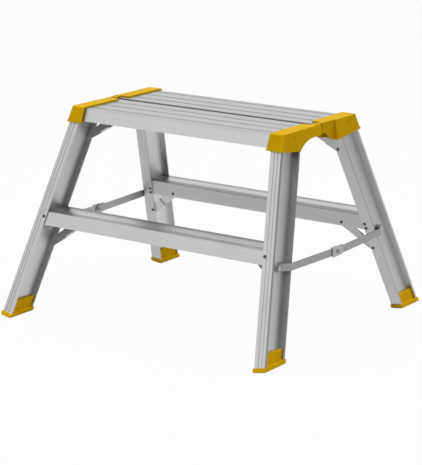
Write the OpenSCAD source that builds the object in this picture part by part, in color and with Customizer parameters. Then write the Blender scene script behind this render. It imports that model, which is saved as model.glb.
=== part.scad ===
// Folding step trestle: two ladder halves hinged under a split platform.
// Each half has a deck plank, a tread, two splayed stiles, knee braces and moulded caps and feet.
// The origin is on the floor under the middle of the platform, X runs along the deck and Y across it.

/* [Trestle] */
// Height of the platform over the hinge caps
height = 503; // [440:1:600]
// Lean of each ladder half from the vertical, in degrees
lean = 21.25; // [19:0.25:23]
// Splay of the stiles in the plane of a ladder half, in degrees
splay = 9; // [6:0.1:10]
// From the middle to the front face of a stile at platform height
top_half_depth = 152; // [149:0.5:160]
// From the middle to the centre line of a stile at platform height
top_half_span = 288; // [260:1:340]

/* [Stile] */
// Depth of the stile's H section, flange face to flange face
stile_depth = 75; // [72:0.5:78]
// Width of the flanges
stile_width = 28.5; // [27:0.5:31]
// Thickness of the flanges
flange_t = 3; // [2.6:0.1:3.4]
// Thickness of the web
web_t = 2.5; // [2:0.1:3]
// From the face of a flange to the edge of the lip along its outboard side
flange_lip = 6.5; // [5:0.5:8]
// Thickness of that lip
lip_t = 2.5; // [2:0.1:3]
// Width of a groove along the face of the outer flange
flange_groove_w = 2.2; // [1.5:0.1:3]
// Depth of a flange groove
flange_groove_d = 0.9; // [0.5:0.1:1.2]

/* [Tread] */
// Height of the tread over the floor
tread_z = 253; // [243:1:263]
// Wall of the tread
tread_t = 2; // [1.6:0.1:2.4]
// Height of the apron on the outer side of the tread
tread_outer_apron = 31; // [26:1:36]
// Height of the apron on the inner side of the tread
tread_inner_apron = 41; // [38:1:46]
// Radius of the tread's top edges
tread_edge_r = 3; // [2:0.5:4]

/* [Deck] */
// Wall of a deck plank
deck_t = 3; // [2.6:0.1:3.4]
// From the top of the hinge caps down to the deck
deck_drop = 4; // [3:0.5:5]
// Height of the plank's outer apron
deck_apron = 30; // [26:1:34]
// Height of the rib that the deck braces are riveted to
deck_rib = 46; // [44:1:50]
// Height of the lip beside the gap
deck_lip = 8; // [6:0.5:9]
// Gap between the two planks
deck_gap = 15; // [12:0.5:18]
// Radius of the plank's top edges
deck_edge_r = 4; // [3:0.5:5]

/* [Hinge caps] */
// From the stile's centre line at platform height to the cap's inboard edge
cap_inboard = 16.5; // [14:0.5:20]
// From the stile's centre line at platform height to the cap's end face
cap_outboard = 21; // [20.5:0.5:26]
// Wall of the cap in front of the stile
cap_wall = 5; // [4:0.1:6]
// Wall of the cap at its end face
cap_end_wall = 3; // [2.5:0.1:3.5]
// Height of the cap over its front edge
cap_skirt_front = 36.5; // [34:0.5:42]
// Height of the cap over its inner edge
cap_skirt_inner = 47; // [44:1:50]
// Height of the bridge that carries the hinge
bridge_h = 25; // [24:0.5:27]
// Radius of the arch under the bridge of a fork cap
arch_r = 100; // [90:1:110]
// From the middle to where that arch begins
arch_start = 35; // [30:1:40]
// Radius of the arch under the arm of an arm cap
arm_arch_r = 35; // [32:1:40]
// Radius of the rounded edge over the front
cap_edge_r = 5; // [3:0.5:6]
// Radius of the upright edge between front and end
cap_upright_r = 6; // [4:0.5:7]
// Radius of the hinge pin
hinge_pin_r = 4; // [3:0.5:5]
// Thickness of the hinge arm
hinge_arm_t = 5.6; // [5:0.1:6]

/* [Feet] */
// Thickness of the foot's pad
pad_t = 10; // [8:0.5:14]
// How far the pad stands out around the stile
pad_margin = 2.4; // [1.5:0.1:3]
// Height over the floor of the plugs that fill the ends of the stile
plug_h = 40; // [32:1:48]
// From the edge of the flanges back to the face of a plug
plug_inset = 5.5; // [4:0.5:7]

/* [Braces] */
// Width of a knee brace
brace_w = 22; // [18:0.5:24]
// Thickness of a knee brace
brace_t = 2.5; // [2:0.1:3]
// From the stile's centre line to the rivet that holds a brace to the tread
tread_brace_reach = 79; // [70:1:90]
// Drop from the tread to the rivet that holds its brace to the stile
tread_brace_drop = 88.5; // [80:0.5:95]
// From the stile's centre line to the rivet that holds a brace to the plank
deck_brace_reach = 60; // [52:1:68]
// Drop from the platform to the rivet that holds its brace to the stile
deck_brace_drop = 80; // [74:1:90]

/* [Spreaders] */
// Height of the spreader's pivots on the stiles
spreader_z = 211; // [203:1:219]
// How far the folding joint sags below the pivots
spreader_sag = 6; // [4:0.5:8]
// Height of a spreader bar
bar_h = 18; // [16:0.5:20]
// Thickness of a spreader bar
bar_t = 3; // [2.5:0.1:3.5]
// Length of the stop tab past the folding joint
tab_len = 22; // [18:1:26]
// Radius of the pivot studs
stud_r = 4; // [3:0.25:5]

/* [Rivets] */
// Radius of a rivet's shank
rivet_r = 2.4; // [2:0.1:2.6]
// Radius of a rivet's head
rivet_head_r = 4; // [3.5:0.1:4.5]

/* [Hidden] */

$fn = 48;
// Points along a rounded corner of an outline
arc_steps = 6;
// Overrun of every cut past the face that it opens
overrun = 1;
// Clearance of mouldings round the sections that they hold
cap_fit = 0.2;
// Radial clearance of a rivet in its hole, and of a pin in the bore that turns on it
rivet_fit = 0.05;
pin_fit = 0.08;
// Gap between faces that slide past each other
side_gap = 0.3;
// Gap between the hinge's rounded end and the cap across from it
knuckle_gap = 2;

aluminium = [0.78, 0.79, 0.8];
yellow = [0.9, 0.7, 0.05];
steel = [0.55, 0.56, 0.58];

// Places that follow from the driving sizes
base_half_depth = top_half_depth + height * tan(lean);
foot_half_span = top_half_span + height / cos(lean) * tan(splay);
reach = base_half_depth + foot_half_span;
deck_z = height - deck_drop;
deck_under_z = deck_z - deck_t;

// Across the stile's flanges: grooves from the inboard edge, and the rivet line inboard of the web
flange_groove_shares = [0.4, 0.71];
rivet_inset = 8.5;
// Shift of the stile's section to the outside with depth, which lets the web run straight back
web_shift_share = tan(lean) * sin(splay);

// Ribbed strips on the treads and the deck
tread_groove_w = 2;
tread_groove_d = 0.7;
tread_groove_pitch = 4.2;
tread_strip_grooves = 4;
tread_strip_shares = [0.17, 0.83];
deck_groove_w = 2;
deck_groove_d = 0.8;
deck_groove_pitch = 4.4;
deck_strip_grooves = 3;
deck_strip_shares = [0.255, 0.545, 0.86];
deck_gap_edge_r = 1.2;

// Rivets: places down the aprons, head and tail
tread_outer_rivet_drop = 11;
tread_inner_rivet_drops = [25, 36];
apron_rivet_margin = 10;
rivet_head_h = 1.8;
rivet_tail_r = 3.5;
rivet_tail_h = 1.6;
rivet_eye_r = 1.3;
rivet_eye_d = 1;
rivet_crown_share = 0.6;

// Knee braces: lap where the strip steps behind the apron, and its stiffening flange
brace_lap = 6;
brace_flange_h = 6;
brace_step_share = 0.42;
brace_flange_end_share = 0.78;

// Feet: tilt of the plug's top, tilt of the pad square to the stile, and flat cut along its inner edge
plug_tilt = 3;
pad_tilt = atan(tan(splay) / cos(lean));
standing_cut = 1.2;
plug_half = stile_width / 2 - plug_inset;
pad_half = stile_width / 2 + pad_margin;
pad_inner_x = foot_half_span - pad_half / cos(splay);

// Caps: walls of the bridge, and end of the wide part of an arm cap
deck_clear_half = top_half_span - cap_inboard;
cap_half_span = top_half_span + cap_outboard;
bridge_wall = 3;
bridge_skin = 4;
arm_start = 63;
arm_rise = 4;
hinge_y_reach = 12;
// Inset of the caps beside the hinge, where the planks run on, and the cheek outside the arm
hinge_inset = 22;
hinge_inset_reach = 20;
cheek_t = 2.8;
// Rim round the bottom of a cap, and the edge along the top of its end face
rim_h = 5;
rim_t = 1;
rim_drop = 0.6;
cap_end_r = 1.8;

// Cap screws, through a boss to the web
screw_r = 2;
screw_head_r = 3.6;
screw_head_h = 1.6;
boss_r = 5;
screw_back = 30;
screw_drop = 12.5;

// Hinge axis, arm and knuckle
hinge_z = height - bridge_h / 2;
knuckle_r = bridge_h / 2;
cheek_x = cap_half_span - cheek_t;
arm_out = cheek_x - side_gap;
arm_x = arm_out - hinge_arm_t;
knuckle_x = arm_x - side_gap;
knuckle_in_x = deck_clear_half + hinge_inset;
arm_arch_start = knuckle_r + knuckle_gap;
plank_half = arm_out - bridge_wall - cap_fit;

// Spreader: pivot, web and bar planes
pivot_y = -face_y(spreader_z, stile_depth / 2);
web_x = stile_x(spreader_z) + web_t / 2 / cos(splay);
bar_end_r = bar_h / 2;
bush_r = 8;
bush_shoulder = 1;
bush_t = bush_r * tan(pad_tilt) + bush_shoulder;
stud_head_r = 6;
stud_head_h = 1.6;
stud_tail_r = 6.5;
stud_tail_h = 3;
end_x = web_x + bush_t + side_gap;
tip_x = stile_x(spreader_z - bar_h) + stile_width / 2 / cos(splay);
inner_bar_x = tip_x + side_gap;
outer_bar_x = inner_bar_x + bar_t + side_gap;
bar_len = norm([pivot_y, spreader_sag]);
sag_angle = atan2(spreader_sag, pivot_y);
bend_flat = 3;
bend_clear = 4;
bend_start = bar_end_r + bend_flat;
bend_end = (stile_depth / 2 - flange_lip) / cos(lean) - bend_clear;
clip_back = 20;
clip_low = 2;
tab_t = 2.5;
tab_under = bar_h / 2 + tab_len * tan(2 * sag_angle) + side_gap;
mid_rivet_r = 2.5;
mid_head_r = 5;
mid_head_h = 2.2;

// Height along the slope, and place across the floor, of a point at height z and depth d in a half
function slope_at(z, d) = (z + d * sin(lean)) / cos(lean);
function face_y(z, d) = z * tan(lean) + d / cos(lean) - base_half_depth;
// Centre line of the right stile at height z
function stile_x(z) = foot_half_span - z * tan(splay) / cos(lean);

// Points of a fillet of radius r at corner b, between a and c
function unit(v) = v / norm(v);
function fillet(a, b, c, r) =
    let (u = unit(a - b))
    let (v = unit(c - b))
    let (half = acos(u * v) / 2)
    let (o = b + unit(u + v) * r / sin(half))
    let (p = b + u * r / tan(half) - o)
    let (q = b + v * r / tan(half) - o)
    let (from = atan2(p[1], p[0]))
    let (turn = (atan2(q[1], q[0]) - from + 540) % 360 - 180)
    [for (i = [0:arc_steps]) o + r * [cos(from + turn * i / arc_steps), sin(from + turn * i / arc_steps)]];

// A corner at the origin to cut off outside a fillet, its ends run out past both faces
function corner_cut(a, c, r, out) =
    let (f = fillet(a, [0, 0], c, r))
    let (n = arc_steps)
    concat([2 * f[0] - f[1]], [for (i = [1:n - 1]) f[i]], [2 * f[n] - f[n - 1], out]);

// The leaning plane of the front half: X as before, Y inward through the stile, Z up the slope
module lean_frame() {
    translate([0, -base_half_depth, 0]) rotate([-lean, 0, 0]) children();
}

// The right stile's own frame, on its centre line
module stile_frame() {
    lean_frame() translate([foot_half_span, 0, 0]) rotate([0, -splay, 0]) children();
}

// A section run along the right stile
module stile_run() {
    stile_frame() translate([0, 0, -reach]) linear_extrude(height = 3 * reach) children();
}

// A point of the stile's section, shifted with its depth
function shifted(p) = [p[0] + p[1] * web_shift_share, p[1]];

// Part of the stile's section between two places across and two depths
module section_part(x0, x1, y0, y1) {
    polygon([for (p = [[x0, y0], [x1, y0], [x1, y1], [x0, y1]]) shifted(p)]);
}

// Left is the mirror image of right, and the rear half is the front half turned round
module left() {
    mirror([1, 0, 0]) children();
}

module both_sides() {
    children();
    left() children();
}

module rear() {
    rotate([0, 0, 180]) children();
}

// Everything between two heights
module level(z0, z1) {
    translate([-reach, -reach, z0]) cube([2 * reach, 2 * reach, z1 - z0]);
}

// Everything outboard of the web's inner face
module beyond_web() {
    stile_run() section_part(-web_t / 2 - cap_fit, reach, -reach, reach);
}

// Everything between two heights over the bottom of the right foot's pad
module foot_level(t0, t1) {
    translate([pad_inner_x, 0, -standing_cut]) rotate([0, -pad_tilt, 0])
        translate([-reach, -reach, t0]) cube([2 * reach, 2 * reach, t1 - t0]);
}

// A section in Y and Z run along X
module run(x0, x1) {
    translate([x0, 0, 0]) rotate([90, 0, 90]) linear_extrude(height = x1 - x0) children();
}

// A shape drawn in the leaning plane and given thickness between two depths
module layer(d0, d1) {
    lean_frame() translate([0, d1, 0]) rotate([90, 0, 0]) linear_extrude(height = d1 - d0) children();
}

// Something standing on a face of the leaning half at height z, pointing inward or outward
module on_face(x, z, d, outward) {
    lean_frame() translate([x, d, slope_at(z, d)]) rotate([outward ? -90 : 90, 0, 0]) children();
}

// A blind rivet: crowned head with its eye, shank and upset tail
module rivet(grip) {
    rotate_extrude() polygon([
        [0, rivet_eye_d - rivet_head_h],
        [rivet_eye_r, rivet_eye_d - rivet_head_h],
        [rivet_eye_r, -rivet_head_h],
        [rivet_head_r * rivet_crown_share, -rivet_head_h],
        [rivet_head_r, -rivet_head_h / 2],
        [rivet_head_r, 0],
        [rivet_r, 0],
        [rivet_r, grip],
        [rivet_tail_r, grip],
        [rivet_tail_r, grip + rivet_tail_h],
        [0, grip + rivet_tail_h]
    ]);
}

module rivet_hole(grip) {
    translate([0, 0, -overrun]) cylinder(h = grip + 2 * overrun, r = rivet_r + rivet_fit);
}

// Rivet places of the right side, each with its head on the outside of the sections it joins
inner_d = stile_depth - flange_t;
tread_brace_z = tread_z - tread_brace_drop;
tread_brace_top_z = tread_z - tread_inner_apron + apron_rivet_margin;
tread_brace_x = stile_x(tread_brace_top_z) - tread_brace_reach;
deck_brace_z = height - deck_brace_drop;
deck_brace_top_z = deck_z - deck_rib + apron_rivet_margin;
deck_brace_x = top_half_span - deck_brace_reach;

module tread_rivet_places() {
    outer_z = tread_z - tread_outer_rivet_drop;
    on_face(stile_x(outer_z) - rivet_inset, outer_z, 0, true) children();
    for (drop = tread_inner_rivet_drops) {
        z = tread_z - drop;
        on_face(stile_x(z) - rivet_inset, z, stile_depth, false) children();
    }
}

module brace_stile_places() {
    for (z = [tread_brace_z, deck_brace_z])
        on_face(stile_x(z) - rivet_inset, z, stile_depth, false) children();
}

module tread_brace_place() {
    on_face(tread_brace_x, tread_brace_top_z, inner_d, false) children();
}

module deck_brace_place() {
    on_face(deck_brace_x, deck_brace_top_z, inner_d, false) children();
}

// Stiles: extruded H section, lipped along its outboard edges, cut level at the deck and square at the foot
module stile_section() {
    half = stile_width / 2;
    hook = half - lip_t;
    web = web_t / 2;
    inside = stile_depth - flange_t;
    inside_lip = stile_depth - flange_lip;
    outline = concat(
        [[-half, 0]],
        [for (share = flange_groove_shares, p = groove(stile_width * share - half)) p],
        [
            [half, 0],
            [half, flange_lip],
            [hook, flange_lip],
            [hook, flange_t],
            [web, flange_t],
            [web, inside],
            [hook, inside],
            [hook, inside_lip],
            [half, inside_lip],
            [half, stile_depth],
            [-half, stile_depth],
            [-half, inside],
            [-web, inside],
            [-web, flange_t],
            [-half, flange_t]
        ]
    );
    polygon([for (p = outline) shifted(p)]);
}

// Points of a groove in the outer flange's face
function groove(x) =
    let (x0 = x - flange_groove_w / 2)
    let (x1 = x + flange_groove_w / 2)
    [[x0, 0], [x0, flange_groove_d], [x1, flange_groove_d], [x1, 0]];

module stile() {
    color(aluminium) difference() {
        intersection() {
            stile_run() stile_section();
            level(0, deck_under_z);
        }
        foot_level(-reach, pad_t);
        tread_rivet_places() rivet_hole(flange_t);
        brace_stile_places() rivet_hole(flange_t);
        translate([0, -pivot_y, spreader_z]) rotate([0, 90, 0]) cylinder(h = reach, r = stud_r + rivet_fit);
        screw_place() translate([0, 0, -screw_back]) cylinder(h = screw_back, r = screw_r + rivet_fit);
    }
}

// Tread: inverted channel between the flanges, with ribbed strips along its top
module tread_section() {
    top = tread_z;
    under = tread_z - tread_t;
    outer = tread_z - tread_outer_apron;
    inner = tread_z - tread_inner_apron;
    f0 = flange_t;
    f1 = flange_t + tread_t;
    r0 = inner_d;
    r1 = inner_d - tread_t;
    front = [face_y(top, f0), top];
    back = [face_y(top, r0), top];
    difference() {
        polygon(concat(
            [[face_y(outer, f0), outer]],
            fillet([face_y(outer, f0), outer], front, back, tread_edge_r),
            fillet(front, back, [face_y(inner, r0), inner], tread_edge_r),
            [
                [face_y(inner, r0), inner],
                [face_y(inner, r1), inner],
                [face_y(under, r1), under],
                [face_y(under, f1), under],
                [face_y(outer, f1), outer]
            ]
        ));
        strip_grooves(front, back, tread_strip_shares, tread_strip_grooves,
            tread_groove_pitch, [tread_groove_w, tread_groove_d]);
    }
}

// Grooves in strips across a top face, each strip centred at a share of the way from one edge to the other
module strip_grooves(from, to, shares, count, pitch, size) {
    for (share = shares, i = [0:count - 1])
        translate(from + (to - from) * share + [(i - (count - 1) / 2) * pitch, 0])
            square([size[0], 2 * size[1]], center = true);
}

module tread() {
    color(aluminium) difference() {
        run(-foot_half_span, foot_half_span) tread_section();
        both_sides() {
            beyond_web();
            tread_rivet_places() rivet_hole(flange_t + tread_t);
            tread_brace_place() rivet_hole(tread_t);
        }
    }
}

// Deck plank: outer apron, rib between the inner flanges, and a short lip beside the gap
module deck_section() {
    outer = deck_z - deck_apron;
    rib = deck_z - deck_rib;
    lip = deck_z - deck_lip;
    under = deck_under_z;
    f0 = flange_t;
    f1 = flange_t + tread_t;
    r0 = inner_d;
    r1 = inner_d - tread_t;
    edge = -deck_gap / 2;
    front = [face_y(deck_z, f0), deck_z];
    back = [edge, deck_z];
    difference() {
        polygon(concat(
            [[face_y(outer, f0), outer]],
            fillet([face_y(outer, f0), outer], front, back, deck_edge_r),
            fillet(front, back, [edge, lip], deck_gap_edge_r),
            [
                [edge, lip],
                [edge - deck_t, lip],
                [edge - deck_t, under],
                [face_y(under, r0), under],
                [face_y(rib, r0), rib],
                [face_y(rib, r1), rib],
                [face_y(under, r1), under],
                [face_y(under, f1), under],
                [face_y(outer, f1), outer]
            ]
        ));
        strip_grooves(back, front, deck_strip_shares, deck_strip_grooves,
            deck_groove_pitch, [deck_groove_w, deck_groove_d]);
    }
}

module deck_plank() {
    color(aluminium) difference() {
        run(-plank_half, plank_half) deck_section();
        both_sides() {
            intersection() {
                beyond_web();
                level(0, deck_under_z);
            }
            translate([knuckle_in_x - side_gap, -hinge_inset_reach, 0])
                cube([reach, 2 * hinge_inset_reach, height]);
            deck_brace_place() rivet_hole(tread_t);
        }
    }
}

// Knee braces: a strip from the stile's flange to an apron, stepped to pass behind the apron
module brace(from, to) {
    span = to - from;
    len = norm(span);
    half = brace_w / 2;
    step = len * brace_step_share;
    back_d = inner_d - tread_t;
    color(aluminium) difference() {
        union() {
            layer(inner_d - brace_t, inner_d) brace_strip(from, span, [-brace_w, step + brace_lap / 2]);
            layer(back_d - brace_t, inner_d)
                brace_strip(from, span, [step - brace_lap / 2, step + brace_lap / 2]);
            layer(back_d - brace_t, back_d) {
                brace_strip(from, span, [step - brace_lap / 2, len]);
                translate(to) circle(half);
            }
            layer(back_d - brace_t - brace_flange_h, back_d - brace_t / 2)
                brace_edge(from, span, [step + brace_lap / 2, len * brace_flange_end_share]);
        }
        beyond_web();
        brace_stile_places() rivet_hole(flange_t + brace_t);
    }
}

module brace_strip(from, span, ends) {
    translate(from) rotate(atan2(span[1], span[0]))
        translate([ends[0], -brace_w / 2]) square([ends[1] - ends[0], brace_w]);
}

// Edge of the strip that is turned in as a flange, on its lower side
module brace_edge(from, span, ends) {
    translate(from) rotate(atan2(span[1], span[0]))
        translate([ends[0], brace_w / 2 - brace_t]) square([ends[1] - ends[0], brace_t]);
}

// A rivet's place in the leaning plane, as drawn for a layer
function in_plane(x, z, d) = [x, slope_at(z, d)];

module tread_brace() {
    from = in_plane(stile_x(tread_brace_z) - rivet_inset, tread_brace_z, stile_depth);
    to = in_plane(tread_brace_x, tread_brace_top_z, inner_d);
    color(aluminium) difference() {
        brace(from, to);
        tread_brace_place() rivet_hole(tread_t + brace_t);
    }
}

module deck_brace() {
    from = in_plane(stile_x(deck_brace_z) - rivet_inset, deck_brace_z, stile_depth);
    to = in_plane(deck_brace_x, deck_brace_top_z, inner_d);
    color(aluminium) difference() {
        brace(from, to);
        deck_brace_place() rivet_hole(tread_t + brace_t);
    }
}

module tread_rivets() {
    color(steel) both_sides() tread_rivet_places() rivet(flange_t + tread_t);
}

module brace_rivets() {
    color(steel) both_sides() {
        brace_stile_places() rivet(flange_t + brace_t);
        tread_brace_place() rivet(tread_t + brace_t);
        deck_brace_place() rivet(tread_t + brace_t);
    }
}

// Feet: a pad square under the stile, standing on its inner edge, with plugs up both sides of the web
module foot() {
    color(yellow) difference() {
        union() {
            intersection() {
                stile_run() section_part(-pad_half, pad_half, -pad_margin, stile_depth + pad_margin);
                foot_level(0, pad_t);
            }
            difference() {
                intersection() {
                    stile_run() section_part(-plug_half, plug_half,
                        flange_t + cap_fit, stile_depth - flange_t - cap_fit);
                    foot_level(pad_t / 2, height);
                }
                stile_run() section_part(-web_t / 2 - cap_fit, web_t / 2 + cap_fit, 0, stile_depth);
                plug_top();
            }
        }
        level(-reach, 0);
    }
}

// Everything above the plug's top, which falls a little toward the inside
module plug_top() {
    translate([0, face_y(0, 0), plug_h]) rotate([-plug_tilt, 0, 0])
        translate([0, -reach, 0]) cube([2 * reach, 2 * reach, reach]);
}

// Points of the arch under a bridge, from where it begins down to a height
function arch(start, r, low) =
    let (under = height - bridge_h)
    let (turn = acos(1 - (under - low) / r))
    [for (i = [0:2 * arc_steps])
        let (at = turn * i / (2 * arc_steps))
        [-start - r * sin(at), under - r + r * cos(at)]];

// Outline of a cap in Y and Z, from its front wall to the end of its bridge and back along its underside
module cap_outline(bridge_end, underside) {
    wall = -cap_wall - cap_fit;
    bottom = height - cap_skirt_front;
    front_low = [face_y(bottom, wall), bottom];
    front_top = [face_y(height, wall), height];
    polygon(concat(
        [front_low],
        fillet(front_low, front_top, [bridge_end, height], cap_edge_r),
        [[bridge_end, height], [bridge_end, height - bridge_h]],
        underside
    ));
}

// Rim along the bottom of a cap, back to where the arch ends
module cap_rim(inner_y) {
    wall = -cap_wall - cap_fit - rim_t;
    bottom = height - cap_skirt_front - rim_drop;
    inner = height - cap_skirt_inner - rim_drop;
    difference() {
        run(deck_clear_half - rim_t, reach) polygon([
            [face_y(bottom, wall), bottom],
            [inner_y, inner],
            [inner_y, inner + rim_h],
            [face_y(bottom + rim_h, wall), bottom + rim_h]
        ]);
        past_end(-rim_t);
        upright_edge(rim_t);
        cap_hollow();
    }
}

// Everything outside the rounded upright edge of a cap whose faces stand out by a given distance
module upright_edge(out) {
    turn = atan(tan(splay) * cos(lean));
    open = asin(sin(lean) * sin(splay));
    translate([cap_half_span + out / cos(splay), face_y(height, -cap_wall - cap_fit - out), height])
        rotate([-lean, 0, 0]) rotate([0, -turn, 0]) translate([0, 0, -reach])
            linear_extrude(height = 2 * reach) polygon(corner_cut(
                [-reach, 0], reach * [sin(open), cos(open)], cap_upright_r, 2 * [overrun, -overrun]));
}

// Everything outside the rounded edge along the top of a cap's end face
module end_edge() {
    translate([cap_half_span, reach, height]) rotate([90, 0, 0])
        linear_extrude(height = 2 * reach) polygon(corner_cut(
            [-reach, 0], reach * [tan(splay), -1], cap_end_r, 2 * [overrun, overrun]));
}

// Everything inboard of the inset beside the hinge
module hinge_inset_cut() {
    translate([0, -hinge_inset_reach, height - cap_skirt_inner])
        cube([knuckle_in_x, 2 * hinge_inset_reach, cap_skirt_inner + overrun]);
}

// Everything past a cap's end face, or past its inside when set back by the wall
module past_end(back) {
    translate([cap_half_span - back, 0, height]) rotate([0, -splay, 0])
        translate([0, -reach, -reach]) cube([reach, 2 * reach, 2 * reach]);
}

// Room inside a cap for the stile's end and the plank, and the hollow of the bridge
module cap_hollow() {
    difference() {
        intersection() {
            lean_frame() translate([-reach, -cap_fit, 0])
                cube([2 * reach, stile_depth + 2 * cap_fit, 2 * reach]);
            level(0, deck_z + cap_fit);
        }
        past_end(cap_end_wall);
    }
    translate([0, face_y(deck_z, stile_depth / 2), deck_under_z - cap_fit])
        cube([plank_half + cap_fit, -face_y(deck_z, stile_depth / 2) - hinge_inset_reach + cap_fit,
            deck_t + 2 * cap_fit]);
    translate([deck_clear_half + bridge_wall, face_y(deck_z, stile_depth) + bridge_wall + cap_fit, 0])
        cube([plank_half - deck_clear_half - bridge_wall,
            -face_y(deck_z, stile_depth) - 2 * bridge_wall - hinge_inset_reach,
            deck_under_z - bridge_skin]);
}

// Place of a cap's screw on its end face, pointing inboard
module screw_place() {
    z = height - screw_drop;
    translate([cap_half_span + screw_drop * tan(splay), face_y(z, stile_depth / 2), z])
        rotate([0, 90 - splay, 0]) children();
}

module cap_boss() {
    difference() {
        screw_place() translate([0, 0, -screw_back])
            cylinder(h = screw_back - cap_end_wall / 2, r = boss_r);
        stile_run() section_part(-reach, web_t / 2 + cap_fit, -reach, reach);
    }
}

module screw_bore() {
    screw_place() {
        translate([0, 0, -screw_back]) cylinder(h = screw_back + overrun, r = screw_r + rivet_fit);
        translate([0, 0, -screw_head_h]) cylinder(h = screw_back, r = screw_head_r + rivet_fit);
    }
}

module along_hinge(x0, x1, r) {
    translate([x0, 0, hinge_z]) rotate([0, 90, 0]) cylinder(h = x1 - x0, r = r);
}

// Fork cap: its knuckle and its thin outer cheek stand on both sides of the other cap's arm
module fork_cap() {
    inner = height - cap_skirt_inner;
    underside = arch(arch_start, arch_r, inner);
    color(yellow) difference() {
        union() {
            difference() {
                union() {
                    run(deck_clear_half, reach) cap_outline(-knuckle_r - knuckle_gap, underside);
                    run(cheek_x, reach) cap_outline(0, underside);
                }
                past_end(0);
                upright_edge(0);
                end_edge();
                cap_hollow();
                hinge_inset_cut();
            }
            cap_rim(underside[2 * arc_steps][0] + rim_t);
            run(knuckle_in_x, knuckle_x) knuckle_outline();
            cap_boss();
        }
        along_hinge(knuckle_in_x - overrun, knuckle_x + overrun, hinge_pin_r + rivet_fit);
        screw_bore();
    }
}

// Knuckle: level on top, rounded about the pin underneath
module knuckle_outline() {
    back = knuckle_r + knuckle_gap;
    translate([0, hinge_z]) {
        circle(hinge_y_reach);
        square([hinge_y_reach, knuckle_r]);
        translate([-back, 0]) square([back, knuckle_r]);
        translate([-back, -knuckle_r]) square([back - hinge_pin_r, knuckle_r]);
    }
}

// Arm cap: a recessed arm reaches past the pin, outside the other cap's knuckle
module arm_cap() {
    inner = height - cap_skirt_inner;
    corner = [-arm_start, inner];
    underside = concat(arch(arm_arch_start, arm_arch_r, inner + arm_rise), [corner]);
    color(yellow) difference() {
        union() {
            difference() {
                union() {
                    run(deck_clear_half, reach) cap_outline(-arm_start, [corner]);
                    run(deck_clear_half, arm_out) cap_outline(-hinge_y_reach - knuckle_gap, underside);
                    run(arm_x, arm_out) cap_outline(0, underside);
                }
                past_end(0);
                upright_edge(0);
                end_edge();
                cap_hollow();
                hinge_inset_cut();
            }
            cap_rim(-arm_start + rim_t);
            along_hinge(arm_x, arm_out, knuckle_r);
            cap_boss();
        }
        along_hinge(arm_x - overrun, arm_out + overrun, hinge_pin_r + pin_fit);
        screw_bore();
    }
}

module cap_screws() {
    color(steel) both_sides() screw_place() {
        translate([0, 0, -screw_head_h]) cylinder(h = screw_head_h, r = screw_head_r);
        translate([0, 0, -screw_back]) cylinder(h = screw_back - screw_head_h / 2, r = screw_r);
    }
}

module hinge_pin() {
    color(steel) along_hinge(knuckle_in_x + side_gap, arm_out, hinge_pin_r);
}

// Spreader bars, drawn from their pivot along Y and then swung down to the sag
module bar_frame() {
    translate([0, -pivot_y, spreader_z]) rotate([-sag_angle, 0, 0]) children();
}

// Plan of a bar: flat on its bush, bent outward past the flange, then straight
module bar_plan(main_x, tip) {
    bend = atan2(main_x - end_x, bend_end - bend_start);
    shift = bar_t * tan(bend / 2);
    polygon([
        [end_x, -bar_end_r],
        [end_x, bend_start],
        [main_x, bend_end],
        [main_x, tip],
        [main_x + bar_t, tip],
        [main_x + bar_t, bend_end - shift],
        [end_x + bar_t, bend_start - shift],
        [end_x + bar_t, -bar_end_r]
    ]);
}

module bar_side() {
    circle(bar_end_r);
    translate([0, -bar_end_r]) square([bar_len, bar_h]);
    translate([bar_len, 0]) circle(bar_end_r);
}

// Side view of the clip round the folding joint, with its raised top edge
module clip_side() {
    low = bar_end_r + clip_low;
    translate([bar_len - clip_back, -low]) square([clip_back + tab_len, low + tab_under + tab_t]);
}

module bar_holes(main_x) {
    translate([end_x - overrun, 0, 0]) rotate([0, 90, 0])
        cylinder(h = bar_t + 2 * overrun, r = stud_r + pin_fit);
    translate([main_x - overrun, bar_len, 0]) rotate([0, 90, 0])
        cylinder(h = bar_t + 2 * overrun, r = mid_rivet_r + rivet_fit);
}

module inner_bar() {
    color(aluminium) bar_frame() difference() {
        intersection() {
            translate([0, 0, -bar_h]) linear_extrude(height = 2 * bar_h)
                bar_plan(inner_bar_x, bar_len + bar_end_r);
            run(0, reach) bar_side();
        }
        bar_holes(inner_bar_x);
    }
}

module outer_bar() {
    color(aluminium) bar_frame() difference() {
        union() {
            intersection() {
                translate([0, 0, -2 * bar_h]) linear_extrude(height = 4 * bar_h)
                    bar_plan(outer_bar_x, bar_len + tab_len);
                run(0, reach) {
                    bar_side();
                    clip_side();
                }
            }
            translate([inner_bar_x, bar_len + side_gap, tab_under])
                cube([outer_bar_x - inner_bar_x + bar_t, tab_len - side_gap, tab_t]);
        }
        bar_holes(outer_bar_x);
    }
}

// Something turned about the spreader's pivot, between two places along X
module along_pivot(x0, x1, r) {
    translate([x0, -pivot_y, spreader_z]) rotate([90, 0, 90]) cylinder(h = x1 - x0, r = r);
}

// Pivot stud: bush seated on the slanted web, shank through the bar, head outside and tail inside
module pivot_stud() {
    tail_x = web_x - web_t - stud_tail_h;
    head_x = end_x + bar_t + side_gap;
    color(steel) {
        along_pivot(tail_x, head_x + stud_head_h, stud_r);
        along_pivot(head_x, head_x + stud_head_h, stud_head_r);
        difference() {
            along_pivot(tail_x, end_x - side_gap, bush_r);
            stile_run() section_part(-reach, web_t / 2, 0, stile_depth);
        }
        difference() {
            along_pivot(tail_x, end_x, stud_tail_r);
            stile_run() section_part(-web_t / 2, reach, 0, stile_depth);
        }
    }
}

// Folding joint: each bar carries its own half of the rivet
module inner_mid_rivet() {
    color(steel) bar_frame() translate([inner_bar_x, bar_len, 0]) rotate([0, 90, 0]) {
        translate([0, 0, -mid_head_h]) cylinder(h = mid_head_h, r = mid_head_r);
        cylinder(h = bar_t, r = mid_rivet_r);
    }
}

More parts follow.
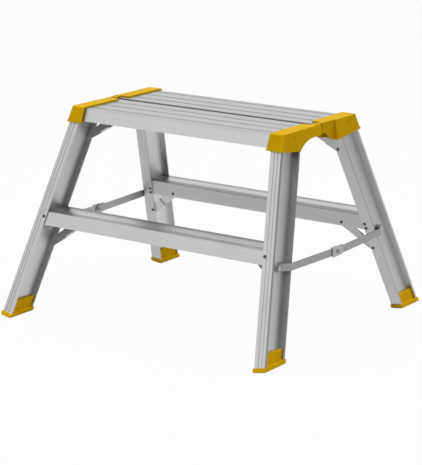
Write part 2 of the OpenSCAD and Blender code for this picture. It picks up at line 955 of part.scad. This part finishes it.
module outer_mid_rivet() {
    color(steel) bar_frame() translate([outer_bar_x, bar_len, 0]) rotate([0, 90, 0]) {
        translate([0, 0, bar_t]) cylinder(h = mid_head_h, r = mid_head_r);
        cylinder(h = bar_t, r = mid_rivet_r);
    }
}

deck_plank();  // front_deck_plank
rear() deck_plank();  // rear_deck_plank
tread();  // front_tread
rear() tread();  // rear_tread
stile();  // front_right_stile
left() stile();  // front_left_stile
rear() left() stile();  // rear_right_stile
rear() stile();  // rear_left_stile
fork_cap();  // front_right_cap
left() arm_cap();  // front_left_cap
rear() left() arm_cap();  // rear_right_cap
rear() fork_cap();  // rear_left_cap
foot();  // front_right_foot
left() foot();  // front_left_foot
rear() left() foot();  // rear_right_foot
rear() foot();  // rear_left_foot
tread_brace();  // front_right_tread_brace
left() tread_brace();  // front_left_tread_brace
rear() left() tread_brace();  // rear_right_tread_brace
rear() tread_brace();  // rear_left_tread_brace
deck_brace();  // front_right_deck_brace
left() deck_brace();  // front_left_deck_brace
rear() left() deck_brace();  // rear_right_deck_brace
rear() deck_brace();  // rear_left_deck_brace
tread_rivets();  // front_tread_rivets
rear() tread_rivets();  // rear_tread_rivets
brace_rivets();  // front_brace_rivets
rear() brace_rivets();  // rear_brace_rivets
cap_screws();  // front_cap_screws
rear() cap_screws();  // rear_cap_screws
hinge_pin();  // right_hinge_pin
rear() hinge_pin();  // left_hinge_pin
pivot_stud();  // front_right_pivot_stud
left() pivot_stud();  // front_left_pivot_stud
rear() left() pivot_stud();  // rear_right_pivot_stud
rear() pivot_stud();  // rear_left_pivot_stud
inner_bar();  // front_right_spreader_bar
left() outer_bar();  // front_left_spreader_bar
rear() left() outer_bar();  // rear_right_spreader_bar
rear() inner_bar();  // rear_left_spreader_bar
inner_mid_rivet();  // front_right_mid_rivet
left() outer_mid_rivet();  // front_left_mid_rivet
rear() left() outer_mid_rivet();  // rear_right_mid_rivet
rear() inner_mid_rivet();  // rear_left_mid_rivet
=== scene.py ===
import math

import bmesh
import bpy
from mathutils import Matrix, Vector


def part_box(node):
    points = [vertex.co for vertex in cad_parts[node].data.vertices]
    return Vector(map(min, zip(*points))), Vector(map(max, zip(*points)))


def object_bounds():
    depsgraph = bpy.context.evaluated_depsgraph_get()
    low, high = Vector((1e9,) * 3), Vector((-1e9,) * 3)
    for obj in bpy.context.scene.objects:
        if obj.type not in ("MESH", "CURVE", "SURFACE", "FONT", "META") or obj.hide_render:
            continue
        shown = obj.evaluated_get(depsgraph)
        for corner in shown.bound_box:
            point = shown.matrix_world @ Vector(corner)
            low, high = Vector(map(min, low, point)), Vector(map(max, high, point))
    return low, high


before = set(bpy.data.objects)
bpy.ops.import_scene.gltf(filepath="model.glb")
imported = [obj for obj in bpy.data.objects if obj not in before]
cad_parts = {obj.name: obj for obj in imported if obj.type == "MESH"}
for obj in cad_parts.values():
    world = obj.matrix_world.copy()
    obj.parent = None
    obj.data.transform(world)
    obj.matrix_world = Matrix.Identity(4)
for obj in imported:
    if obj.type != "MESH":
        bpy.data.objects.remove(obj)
cad_low, cad_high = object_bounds()

# Camera: a long lens from the front right and a little above the deck,
# aimed so that the trestle stands in the upper part of a tall frame.
camera_azimuth = math.radians(35.3)
camera_elevation = math.radians(13.91)
camera_distance = 4.706
frame_height_px = 465
focal_px = 1922
aim_right_px = -1.5
aim_down_px = 22
sensor_mm = 36

toward_camera = Vector((
    math.sin(camera_azimuth) * math.cos(camera_elevation),
    -math.cos(camera_azimuth) * math.cos(camera_elevation),
    math.sin(camera_elevation),
))
view_right = Vector((math.cos(camera_azimuth), math.sin(camera_azimuth), 0))
view_up = toward_camera.cross(view_right)
middle = Vector((0, 0, cad_high[2] / 2))
metres_per_px = camera_distance / focal_px
aim = middle + (view_right * aim_right_px - view_up * aim_down_px) * metres_per_px
lens = bpy.data.cameras.new("camera")
lens.sensor_width = sensor_mm
lens.lens = focal_px * sensor_mm / frame_height_px
camera = bpy.data.objects.new("camera", lens)
camera.location = middle + toward_camera * camera_distance
camera.rotation_euler = (camera.location - aim).to_track_quat("Z", "Y").to_euler()
bpy.context.collection.objects.link(camera)
bpy.context.scene.camera = camera


# Studio: a white floor that runs out of sight, with only a faint shadow on it,
# a broad soft light overhead and a weak one from the right. A curved grey wall
# on that side shows only in what the metal reflects.
def node_material(name):
    material = bpy.data.materials.new(name)
    material.use_nodes = True
    tree = material.node_tree
    return material, tree, tree.nodes["Principled BSDF"]


def wire(tree, output, target):
    tree.links.new(output, target)


def seen_ray(tree):
    rays = tree.nodes.new("ShaderNodeLightPath")
    direct = tree.nodes.new("ShaderNodeMath")
    direct.operation = "MAXIMUM"
    wire(tree, rays.outputs["Is Camera Ray"], direct.inputs[0])
    wire(tree, rays.outputs["Is Glossy Ray"], direct.inputs[1])
    either = tree.nodes.new("ShaderNodeMath")
    either.operation = "MAXIMUM"
    wire(tree, direct.outputs[0], either.inputs[0])
    wire(tree, rays.outputs["Is Transmission Ray"], either.inputs[1])
    return either.outputs[0]


def plain_grey(level):
    return (level, level, level, 1)


white = plain_grey(1)
floor_half = 6
floor_grey = 0.5
white_share = 0.96
paper, paper_tree, paper_shader = node_material("white_paper")
paper_shader.inputs["Base Color"].default_value = plain_grey(floor_grey)
paper_shader.inputs["Roughness"].default_value = 1
paper_shader.inputs["Specular IOR Level"].default_value = 0
seen_white = paper_tree.nodes.new("ShaderNodeMath")
seen_white.operation = "MULTIPLY"
seen_white.inputs[1].default_value = white_share
wire(paper_tree, seen_ray(paper_tree), seen_white.inputs[0])
glow = paper_tree.nodes.new("ShaderNodeEmission")
glow.inputs["Color"].default_value = white
paper_mix = paper_tree.nodes.new("ShaderNodeMixShader")
wire(paper_tree, seen_white.outputs[0], paper_mix.inputs["Fac"])
wire(paper_tree, paper_shader.outputs[0], paper_mix.inputs[1])
wire(paper_tree, glow.outputs[0], paper_mix.inputs[2])
wire(paper_tree, paper_mix.outputs[0], paper_tree.nodes["Material Output"].inputs["Surface"])

floor_mesh = bpy.data.meshes.new("floor")
floor_bm = bmesh.new()
bmesh.ops.create_grid(floor_bm, x_segments=1, y_segments=1, size=floor_half)
floor_bm.to_mesh(floor_mesh)
floor_bm.free()
floor_mesh.materials.append(paper)
floor = bpy.data.objects.new("floor", floor_mesh)
bpy.context.collection.objects.link(floor)

sky_fill = 0.4
world = bpy.data.worlds.new("studio")
world.use_nodes = True
bpy.context.scene.world = world
sky_tree = world.node_tree
sky = sky_tree.nodes["Background"]
sky.inputs["Color"].default_value = white
sky.inputs["Strength"].default_value = sky_fill
sky_seen = sky_tree.nodes.new("ShaderNodeBackground")
sky_seen.inputs["Color"].default_value = white
sky_seen.inputs["Strength"].default_value = 1
sky_mix = sky_tree.nodes.new("ShaderNodeMixShader")
wire(sky_tree, seen_ray(sky_tree), sky_mix.inputs["Fac"])
wire(sky_tree, sky.outputs[0], sky_mix.inputs[1])
wire(sky_tree, sky_seen.outputs[0], sky_mix.inputs[2])
wire(sky_tree, sky_mix.outputs[0], sky_tree.nodes["World Output"].inputs["Surface"])


def soft_light(name, place, size, power):
    lamp = bpy.data.lights.new(name, "AREA")
    lamp.shape = "SQUARE"
    lamp.size = size
    lamp.energy = power
    light = bpy.data.objects.new(name, lamp)
    light.location = place
    light.rotation_euler = (Vector(place) - middle).to_track_quat("Z", "Y").to_euler()
    light.visible_glossy = False
    bpy.context.collection.objects.link(light)


soft_light("overhead_light", place=(-0.1, -0.05, 3.6), size=5, power=165)
soft_light("right_light", place=(4.2, -0.6, 1.2), size=2, power=14)
bpy.context.scene.view_settings.view_transform = "Standard"

wall_radius = 6.5
wall_height = 5
wall_from, wall_to = math.radians(-80), math.radians(62)
wall_steps = 24
wall_grey = 0.36
wall_mesh = bpy.data.meshes.new("grey_wall")
wall_bm = bmesh.new()
wall_start = Vector((wall_radius * math.cos(wall_from), wall_radius * math.sin(wall_from), 0))
wall_post = wall_bm.edges.new([
    wall_bm.verts.new(wall_start + Vector((0, 0, height))) for height in (0, wall_height)])
bmesh.ops.spin(
    wall_bm, geom=[*wall_post.verts, wall_post], cent=(0, 0, 0), axis=(0, 0, 1),
    dvec=(0, 0, 0), angle=wall_to - wall_from, steps=wall_steps, use_merge=False)
wall_bm.to_mesh(wall_mesh)
wall_bm.free()
wall_paint, wall_tree, wall_shader = node_material("grey_wall")
wall_shader.inputs["Base Color"].default_value = plain_grey(0)
wall_shader.inputs["Specular IOR Level"].default_value = 0
wall_shader.inputs["Emission Color"].default_value = plain_grey(wall_grey)
wall_shader.inputs["Emission Strength"].default_value = 1
wall_mesh.materials.append(wall_paint)
wall = bpy.data.objects.new("grey_wall", wall_mesh)
wall.visible_camera = False
bpy.context.collection.objects.link(wall)

# Deck planks: wide aluminium sections in mill finish, drawn through a die, so fine lines
# run along the length and the sharp edges are slightly broken. The ribbed top is painted
# darker as painted shade, and the lip at the gap between the two planks darker still,
# as a painted shadow in the gap.
die_line_length, die_line_width, die_line_detail = 0.6, 0.0022, 4
cloud_scale, cloud_detail, cloud_share = 9, 5, 0.45
streak_low, streak_high = 0.3, 0.7
dark_streak, light_streak = 0.9, 1.06
streak_polish = 0.07
line_strength, line_depth = 0.12, 0.0002


def drawn_aluminium(name, turn, tone, roughness):
    material, tree, shader = node_material(name)
    place = tree.nodes.new("ShaderNodeTexCoord")
    lines_place = tree.nodes.new("ShaderNodeMapping")
    lines_place.vector_type = "TEXTURE"
    lines_place.inputs["Rotation"].default_value = turn
    lines_place.inputs["Scale"].default_value = (die_line_length, die_line_width, die_line_width)
    wire(tree, place.outputs["Object"], lines_place.inputs["Vector"])
    lines = tree.nodes.new("ShaderNodeTexNoise")
    lines.inputs["Scale"].default_value = 1
    lines.inputs["Detail"].default_value = die_line_detail
    wire(tree, lines_place.outputs[0], lines.inputs["Vector"])
    cloud = tree.nodes.new("ShaderNodeTexNoise")
    cloud.inputs["Scale"].default_value = cloud_scale
    cloud.inputs["Detail"].default_value = cloud_detail
    wire(tree, place.outputs["Object"], cloud.inputs["Vector"])

    streaks = tree.nodes.new("ShaderNodeMix")
    streaks.inputs["Factor"].default_value = cloud_share
    wire(tree, lines.outputs["Fac"], streaks.inputs["A"])
    wire(tree, cloud.outputs["Fac"], streaks.inputs["B"])
    colour = tree.nodes.new("ShaderNodeValToRGB")
    dark_end, light_end = colour.color_ramp.elements
    dark_end.position = streak_low
    dark_end.color = (*[c * dark_streak for c in tone], 1)
    light_end.position = streak_high
    light_end.color = (*[c * light_streak for c in tone], 1)
    wire(tree, streaks.outputs["Result"], colour.inputs["Fac"])
    wire(tree, colour.outputs["Color"], shader.inputs["Base Color"])

    polish = tree.nodes.new("ShaderNodeMapRange")
    polish.inputs["From Min"].default_value = streak_low
    polish.inputs["From Max"].default_value = streak_high
    polish.inputs["To Min"].default_value = roughness - streak_polish
    polish.inputs["To Max"].default_value = roughness + streak_polish
    wire(tree, streaks.outputs["Result"], polish.inputs["Value"])
    wire(tree, polish.outputs["Result"], shader.inputs["Roughness"])

    relief = tree.nodes.new("ShaderNodeBump")
    relief.inputs["Strength"].default_value = line_strength
    relief.inputs["Distance"].default_value = line_depth
    wire(tree, lines.outputs["Fac"], relief.inputs["Height"])
    wire(tree, relief.outputs["Normal"], shader.inputs["Normal"])
    shader.inputs["Metallic"].default_value = 1
    return material


weld_gap = 0.00002
flat_within = math.radians(0.4)
sharp_from = math.radians(32)


def finish_solid(name, material, edge, segments=2):
    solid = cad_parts[name]
    solid.data.materials.clear()
    solid.data.materials.append(material)
    weld = solid.modifiers.new("join_faces", "WELD")
    weld.merge_threshold = weld_gap
    flat = solid.modifiers.new("whole_faces", "DECIMATE")
    flat.decimate_type = "DISSOLVE"
    flat.angle_limit = flat_within
    broken = solid.modifiers.new("broken_edges", "BEVEL")
    broken.width = edge
    broken.segments = segments
    broken.limit_method = "ANGLE"
    broken.angle_limit = sharp_from
    broken.harden_normals = True


def measure_along(tree, direction):
    place = tree.nodes.new("ShaderNodeTexCoord")
    along = tree.nodes.new("ShaderNodeVectorMath")
    along.operation = "DOT_PRODUCT"
    along.inputs[1].default_value = direction
    wire(tree, place.outputs["Object"], along.inputs[0])
    return along.outputs["Value"]


# Paints shade: scales the colour down along a direction, from full at start to share at end.
def paint_shade_along(material, direction, start, end, share):
    tree = material.node_tree
    shader = tree.nodes["Principled BSDF"]
    bright = shader.inputs["Base Color"].links[0].from_socket
    fade = tree.nodes.new("ShaderNodeMapRange")
    fade.inputs["From Min"].default_value = start
    fade.inputs["From Max"].default_value = end
    fade.inputs["To Min"].default_value = 1
    fade.inputs["To Max"].default_value = share
    wire(tree, measure_along(tree, direction), fade.inputs["Value"])
    shaded = tree.nodes.new("ShaderNodeVectorMath")
    shaded.operation = "SCALE"
    wire(tree, bright, shaded.inputs[0])
    wire(tree, fade.outputs["Result"], shaded.inputs["Scale"])
    wire(tree, shaded.outputs["Vector"], shader.inputs["Base Color"])


inward_y = {"front": 1, "rear": -1}
section_edge = 0.0004
deck_tone = (0.63, 0.633, 0.636)
deck_roughness = 0.42
cap_rise = 0.004
deck_top = cad_high[2] - cap_rise
# Painted shade: darker colour on the top faces and, as a painted shadow, on the lip at the gap.
top_fade_from, top_fade_to, top_shade_share = 0.0035, 0.0015, 0.86
gap_fade_from, gap_fade_to, gap_shadow_share = 0.0105, 0.0078, 0.5
for half, inward in inward_y.items():
    deck_aluminium = drawn_aluminium(
        f"{half}_deck_aluminium", (0, 0, 0), deck_tone, deck_roughness)
    paint_shade_along(deck_aluminium, (0, 0, 1),
               deck_top - top_fade_from, deck_top - top_fade_to, top_shade_share)
    paint_shade_along(deck_aluminium, (0, inward, 0), -gap_fade_from, -gap_fade_to, gap_shadow_share)
    finish_solid(f"{half}_deck_plank", deck_aluminium, section_edge)

# Treads: inverted channels of the same drawn aluminium, a little brighter polished
# and riveted between the stiles. From the middle of the top towards the inside of the trestle,
# and on the apron that faces into it, the colour is painted darker as painted shade.
tread_tone = (0.575, 0.578, 0.58)
tread_roughness = 0.34
apron_depth = 0.01
apron_shade_share = 0.75
for half, inward in inward_y.items():
    tread_aluminium = drawn_aluminium(
        f"{half}_tread_aluminium", (0, 0, 0), tread_tone, tread_roughness)
    outer_edge, inner_edge = sorted(inward * corner[1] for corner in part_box(f"{half}_tread"))
    paint_shade_along(tread_aluminium, (0, inward, 0),
               (outer_edge + inner_edge) / 2, inner_edge - apron_depth, apron_shade_share)
    finish_solid(f"{half}_tread", tread_aluminium, section_edge)


# Stiles: the same aluminium drawn as an H section, so its lines run up each leaning, splayed
# leg. The flange inside the legs is painted darker as painted shade, and on the front legs
# so are the outer flange and the outboard faces of the lips. The front left stile is
# painted a little darker than the other three, also as painted shade.
def cool_grey(level, blue_cast=1.01):
    return (level, level, level * blue_cast)


lean = math.radians(21.25)
splay = math.radians(9)
top_half_depth = 0.152
top_half_span = 0.288
stile_half_width = 0.01425
face_depth = (top_half_depth + cad_high[2] * math.tan(lean)) * math.cos(lean)
spread = math.tan(splay) / math.cos(lean)
lip_face = top_half_span + cad_high[2] * spread + stile_half_width / math.cos(splay)
outboard_x = {"right": 1, "left": -1}
# Tones per stile; the lower one on the front left is painted shade.
stile_tone_and_shade = {
    ("front", "left"): 0.64, ("front", "right"): 0.68,
    ("rear", "left"): 0.68, ("rear", "right"): 0.68}
stile_roughness = 0.46
# Painted shade on the inner flange, and on the front legs on the outer flange and lips.
inner_shade_share = {"front": 0.82, "rear": 0.74}
inner_fade_from, inner_fade_to = 0.060, 0.072
outer_fade_from, outer_fade_to, outer_shade_share = 0.006, 0.003, 0.92
lip_fade_from, lip_fade_to, lip_shade_share = 0.0012, 0.0006, 0.55
into_half = {
    half: Vector((0, inward * math.cos(lean), -math.sin(lean)))
    for half, inward in inward_y.items()}
for half, inward in inward_y.items():
    half_turn = 0 if half == "front" else math.pi
    for side, outboard in outboard_x.items():
        up = (Matrix.Rotation(half_turn, 3, "Z") @ Matrix.Rotation(-lean, 3, "X")
              @ Matrix.Rotation(-splay * outboard * inward, 3, "Y"))
        along_leg = up @ Matrix.Rotation(-math.pi / 2, 3, "Y")
        stile_aluminium = drawn_aluminium(
            f"{half}_{side}_stile_aluminium", along_leg.to_euler(),
            cool_grey(stile_tone_and_shade[half, side]), stile_roughness)
        paint_shade_along(stile_aluminium, into_half[half],
                   inner_fade_from - face_depth, inner_fade_to - face_depth, inner_shade_share[half])
        if half == "front":
            paint_shade_along(stile_aluminium, -into_half[half],
                       face_depth - outer_fade_from, face_depth - outer_fade_to, outer_shade_share)
            paint_shade_along(stile_aluminium, (outboard, 0, spread),
                       lip_face - lip_fade_from, lip_face - lip_fade_to, lip_shade_share)
        finish_solid(f"{half}_{side}_stile", stile_aluminium, section_edge)

# Knee braces: flat aluminium strip, cut, stepped and pierced in a press, with tumbled edges,
# and riveted to the stile's inner flange and to the apron of the tread or the deck.
# The braces on the right are painted darker than those on the left, as painted shade.
strip_tone_and_shade = {"left": 0.55, "right": 0.46}
strip_roughness = 0.45
strip_turn = (0, 0, 0.6)
strip_edge = 0.0005
for side, tone in strip_tone_and_shade.items():
    strip_aluminium = drawn_aluminium(
        f"{side}_strip_aluminium", strip_turn, cool_grey(tone), strip_roughness)
    for half in inward_y:
        for piece in ("tread_brace", "deck_brace"):
            finish_solid(f"{half}_{side}_{piece}", strip_aluminium, strip_edge)


# Spreader bars: narrow flat bar, bent at its end to clear the stile and left as it comes
# from the mill, greyer than the sections. One bar of each pair carries
# the brighter clip that is folded over the joint as its stop.
def bright_where(material, measure, start, end, tone):
    tree = material.node_tree
    shader = tree.nodes["Principled BSDF"]
    dark = shader.inputs["Base Color"].links[0].from_socket
    above = tree.nodes.new("ShaderNodeMath")
    above.operation = "GREATER_THAN"
    above.inputs[1].default_value = start
    wire(tree, measure, above.inputs[0])
    below = tree.nodes.new("ShaderNodeMath")
    below.operation = "LESS_THAN"
    below.inputs[1].default_value = end
    wire(tree, measure, below.inputs[0])
    between = tree.nodes.new("ShaderNodeMath")
    between.operation = "MULTIPLY"
    wire(tree, above.outputs[0], between.inputs[0])
    wire(tree, below.outputs[0], between.inputs[1])
    two_tone = tree.nodes.new("ShaderNodeMix")
    two_tone.data_type = "RGBA"
    wire(tree, between.outputs[0], two_tone.inputs["Factor"])
    wire(tree, dark, two_tone.inputs["A"])
    two_tone.inputs["B"].default_value = plain_grey(tone)
    wire(tree, two_tone.outputs["Result"], shader.inputs["Base Color"])


# The bars on the right are painted darker than those on the left, as painted shade.
bar_tone_and_shade = {"left": (0.45, 0.452, 0.455), "right": (0.39, 0.392, 0.395)}
bar_roughness = 0.48
bar_turn = (0, 0, math.pi / 2)
bar_edge = 0.0005
clip_bars = ("front_left_spreader_bar", "rear_right_spreader_bar")
clip_reach = 0.0225
clip_tone = 0.52
for half in inward_y:
    for side in outboard_x:
        bar = f"{half}_{side}_spreader_bar"
        bar_aluminium = drawn_aluminium(
            f"{bar}_aluminium", bar_turn, bar_tone_and_shade[side], bar_roughness)
        if bar in clip_bars:
            from_joint = measure_along(bar_aluminium.node_tree, (0, 1, 0))
            bright_where(bar_aluminium, from_joint, -clip_reach, clip_reach, clip_tone)
        finish_solid(bar, bar_aluminium, bar_edge)

# Hinge caps: thick yellow plastic, injection moulded with a fine grain and generous radii,
# pushed over the ends of stile and plank and screwed. On the arm caps a painted shadow
# darkens the face near the seam where they enter the fork.
grain_scale, grain_detail = 1400, 2
grain_strength, grain_depth = 0.2, 0.0002
flow_scale, flow_detail = 22, 4
flow_low, flow_high = 0.3, 0.72
deep_yellow, pale_yellow = (0.6, 0.352, 0.0005), (0.67, 0.4, 0.001)
plastic_roughness, plastic_specular = 0.55, 0.02
bloom, bloom_roughness = 0.12, 0.25


def yellow_moulding(name, shade):
    material, tree, shader = node_material(name)
    place = tree.nodes.new("ShaderNodeTexCoord")
    grain = tree.nodes.new("ShaderNodeTexNoise")
    grain.inputs["Scale"].default_value = grain_scale
    grain.inputs["Detail"].default_value = grain_detail
    wire(tree, place.outputs["Object"], grain.inputs["Vector"])
    flow = tree.nodes.new("ShaderNodeTexNoise")
    flow.inputs["Scale"].default_value = flow_scale
    flow.inputs["Detail"].default_value = flow_detail
    wire(tree, place.outputs["Object"], flow.inputs["Vector"])
    yellow = tree.nodes.new("ShaderNodeValToRGB")
    for end, position, (red, green, blue) in zip(
            yellow.color_ramp.elements, (flow_low, flow_high), (deep_yellow, pale_yellow)):
        end.position = position
        end.color = (red * shade, green * shade, blue, 1)
    wire(tree, flow.outputs["Fac"], yellow.inputs["Fac"])
    wire(tree, yellow.outputs["Color"], shader.inputs["Base Color"])
    grain_relief = tree.nodes.new("ShaderNodeBump")
    grain_relief.inputs["Strength"].default_value = grain_strength
    grain_relief.inputs["Distance"].default_value = grain_depth
    wire(tree, grain.outputs["Fac"], grain_relief.inputs["Height"])
    wire(tree, grain_relief.outputs["Normal"], shader.inputs["Normal"])
    shader.inputs["Roughness"].default_value = plastic_roughness
    shader.inputs["Specular IOR Level"].default_value = plastic_specular
    shader.inputs["Sheen Weight"].default_value = bloom
    shader.inputs["Sheen Roughness"].default_value = bloom_roughness
    return material


moulded_edge, moulded_segments = 0.0012, 3
cap_shade = 0.92
arm_caps = ("front_left_cap", "rear_right_cap")
# Painted shadow on the arm caps beside the seam with the fork.
seam_shade_from, seam_shade_to, seam_shade_share = 0.015, 0.008, 0.55
for half, inward in inward_y.items():
    for side in outboard_x:
        cap = f"{half}_{side}_cap"
        cap_moulding = yellow_moulding(f"{cap}_moulding", cap_shade)
        if cap in arm_caps:
            paint_shade_along(cap_moulding, (0, inward, 0), -seam_shade_from, -seam_shade_to, seam_shade_share)
        finish_solid(cap, cap_moulding, moulded_edge, moulded_segments)

# Feet: the same yellow plastic, moulded as a pad with two plugs that are pushed up the stile,
# one on each side of its web. Each foot is painted lighter than the caps, to its own degree,
# as painted light that lifts the shade near the floor.
foot_painted_light = {
    ("front", "left"): 1.24, ("front", "right"): 1.08,
    ("rear", "left"): 1.24, ("rear", "right"): 1.16}
for (half, side), shade in foot_painted_light.items():
    foot = f"{half}_{side}_foot"
    foot_moulding = yellow_moulding(f"{foot}_moulding", shade)
    finish_solid(foot, foot_moulding, moulded_edge, moulded_segments)

# Blind rivets: the heads are dark and dull,
# and the tails that were drawn up inside them are bright aluminium.
stain_scale, stain_detail = 260, 4
stain_cast = 1.05
stained_metallic, stained_roughness = 0.8, 0.5


def stained_metal(name, dark, light):
    material, tree, shader = node_material(name)
    place = tree.nodes.new("ShaderNodeTexCoord")
    stain = tree.nodes.new("ShaderNodeTexNoise")
    stain.inputs["Scale"].default_value = stain_scale
    stain.inputs["Detail"].default_value = stain_detail
    wire(tree, place.outputs["Object"], stain.inputs["Vector"])
    metal = tree.nodes.new("ShaderNodeValToRGB")
    for end, level in zip(metal.color_ramp.elements, (dark, light)):
        end.color = (level, level, level * stain_cast, 1)
    wire(tree, stain.outputs["Fac"], metal.inputs["Fac"])
    wire(tree, metal.outputs["Color"], shader.inputs["Base Color"])
    shader.inputs["Metallic"].default_value = stained_metallic
    shader.inputs["Roughness"].default_value = stained_roughness
    return material


fastener_edge = 0.0003
rivet_dark, rivet_light = 0.06, 0.16
tail_from, tail_to, tail_tone = 0.0005, 0.0716, 0.5
for half in inward_y:
    rivet_metal = stained_metal(f"{half}_rivet_metal", rivet_dark, rivet_light)
    rivet_depth = measure_along(rivet_metal.node_tree, into_half[half])
    bright_where(rivet_metal, rivet_depth, tail_from - face_depth, tail_to - face_depth, tail_tone)
    for joined in ("tread", "brace"):
        finish_solid(f"{half}_{joined}_rivets", rivet_metal, fastener_edge)

# Spreader studs and joint rivets: turned aluminium, bright on the rim,
# and each joint rivet with the dark stem of its mandrel in the middle.
stud_dark, stud_light = 0.52, 0.62
stem_dark, stem_light = 0.06, 0.12
stem_radius, rim_radius, rim_tone = 0.0024, 0.1, 0.45
stud_metal = stained_metal("stud_metal", stud_dark, stud_light)
for half in inward_y:
    for side in outboard_x:
        finish_solid(f"{half}_{side}_pivot_stud", stud_metal, fastener_edge)
        joint = f"{half}_{side}_mid_rivet"
        joint_low, joint_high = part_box(joint)
        joint_metal = stained_metal(f"{joint}_metal", stem_dark, stem_light)
        joint_tree = joint_metal.node_tree
        joint_place = joint_tree.nodes.new("ShaderNodeTexCoord")
        joint_middle = joint_tree.nodes.new("ShaderNodeMapping")
        joint_middle.inputs["Scale"].default_value = (0, 1, 1)
        joint_middle.inputs["Location"].default_value = (
            0, -(joint_low[1] + joint_high[1]) / 2, -(joint_low[2] + joint_high[2]) / 2)
        wire(joint_tree, joint_place.outputs["Object"], joint_middle.inputs["Vector"])
        from_middle = joint_tree.nodes.new("ShaderNodeVectorMath")
        from_middle.operation = "LENGTH"
        wire(joint_tree, joint_middle.outputs["Vector"], from_middle.inputs[0])
        bright_where(joint_metal, from_middle.outputs["Value"], stem_radius, rim_radius, rim_tone)
        finish_solid(joint, joint_metal, fastener_edge)

# Cap screws and hinge pins: plated steel, yellowed to the colour of the caps where they show.
# The screws hold each cap to its stile, and the pins join fork and arm inside the outer cheek.
screw_dark, screw_light = 0.14, 0.2
screw_specular = 0.02
yellowed = (2.2, 1.3, 0.004)
screw_metal = stained_metal("screw_metal", screw_dark, screw_light)
screw_tree = screw_metal.node_tree
screw_shader = screw_tree.nodes["Principled BSDF"]
screw_shader.inputs["Metallic"].default_value = 0
screw_shader.inputs["Specular IOR Level"].default_value = screw_specular
screw_tint = screw_tree.nodes.new("ShaderNodeVectorMath")
screw_tint.operation = "MULTIPLY"
screw_tint.inputs[1].default_value = yellowed
wire(screw_tree, screw_shader.inputs["Base Color"].links[0].from_socket, screw_tint.inputs[0])
wire(screw_tree, screw_tint.outputs["Vector"], screw_shader.inputs["Base Color"])
for half in inward_y:
    finish_solid(f"{half}_cap_screws", screw_metal, fastener_edge)
for side in outboard_x:
    finish_solid(f"{side}_hinge_pin", screw_metal, fastener_edge)
